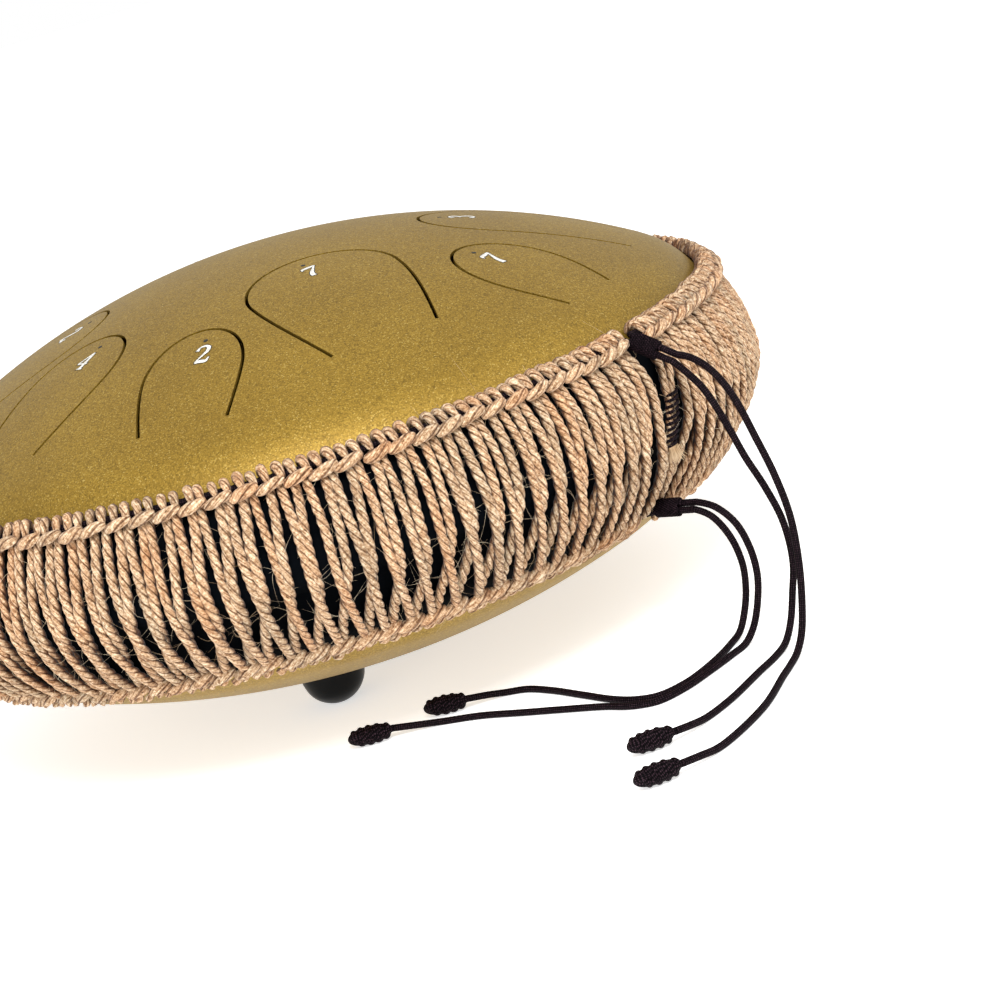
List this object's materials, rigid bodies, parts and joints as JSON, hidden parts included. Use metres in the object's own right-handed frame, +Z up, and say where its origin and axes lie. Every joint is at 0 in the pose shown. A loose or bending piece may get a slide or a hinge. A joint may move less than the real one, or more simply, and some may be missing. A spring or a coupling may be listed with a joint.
{
  "type": "steel tongue drum",
  "caption": "Low domed steel tongue drum with numbered tongues on top, a laced jute rope band with draw cords round the rim, a round sound hole below and rubber ball feet.",
  "frame": {"origin": "on the floor, under the middle of the drum", "axes": "+Z up along the drum's axis; -Y is the side where the first tongues and the draw cords are seen"},
  "size_m": [0.3299, 0.3913, 0.1539],
  "materials": {
    "gold_paint": "fine metallic gold paint, semi-gloss",
    "weld_steel": "dull welded seam",
    "lining_rubber": "matt black sheet",
    "number_paint": "silver-white print",
    "jute": "twisted jute rope, hairy",
    "black_cord": "fine braided cord",
    "foot_rubber": "moulded, satin",
    "zinc_steel": "zinc plated"
  },
  "bodies": {
    "root": {"top_shell": "gold_paint", "bottom_shell": "gold_paint", "seam_weld": "weld_steel", "band_lining": "lining_rubber", "rope_strands": "jute", "rope_upper_edging": "jute", "rope_lower_edging": "jute", "closure_lacing": "black_cord", "upper_draw_loop": "black_cord", "lower_draw_loop": "black_cord", "upper_outer_tail": "black_cord", "upper_outer_knot": "black_cord", "upper_inner_tail": "black_cord", "upper_inner_knot": "black_cord", "lower_outer_tail": "black_cord", "lower_outer_knot": "black_cord", "lower_inner_tail": "black_cord", "lower_inner_knot": "black_cord", "foot_1_rubber": "foot_rubber", "foot_1_stud": "zinc_steel", "foot_1_washer": "zinc_steel", "foot_1_nut": "zinc_steel", "foot_2_rubber": "foot_rubber", "foot_2_stud": "zinc_steel", "foot_2_washer": "zinc_steel", "foot_2_nut": "zinc_steel", "foot_3_rubber": "foot_rubber", "foot_3_stud": "zinc_steel", "foot_3_washer": "zinc_steel", "foot_3_nut": "zinc_steel"},
    "upper_slide_knot": {"upper_slide_knot": "black_cord"},
    "lower_slide_knot": {"lower_slide_knot": "black_cord"}
  },
  "joints": [
    {"name": "upper_knot_slide", "type": "slide", "parent": "root", "child": "upper_slide_knot", "axis": [0.6463, -0.6133, -0.454], "range_m": [0, 0.004]},
    {"name": "lower_knot_slide", "type": "slide", "parent": "root", "child": "lower_slide_knot", "axis": [0.7254, -0.6884, 0], "range_m": [0, 0.004]}
  ]
}
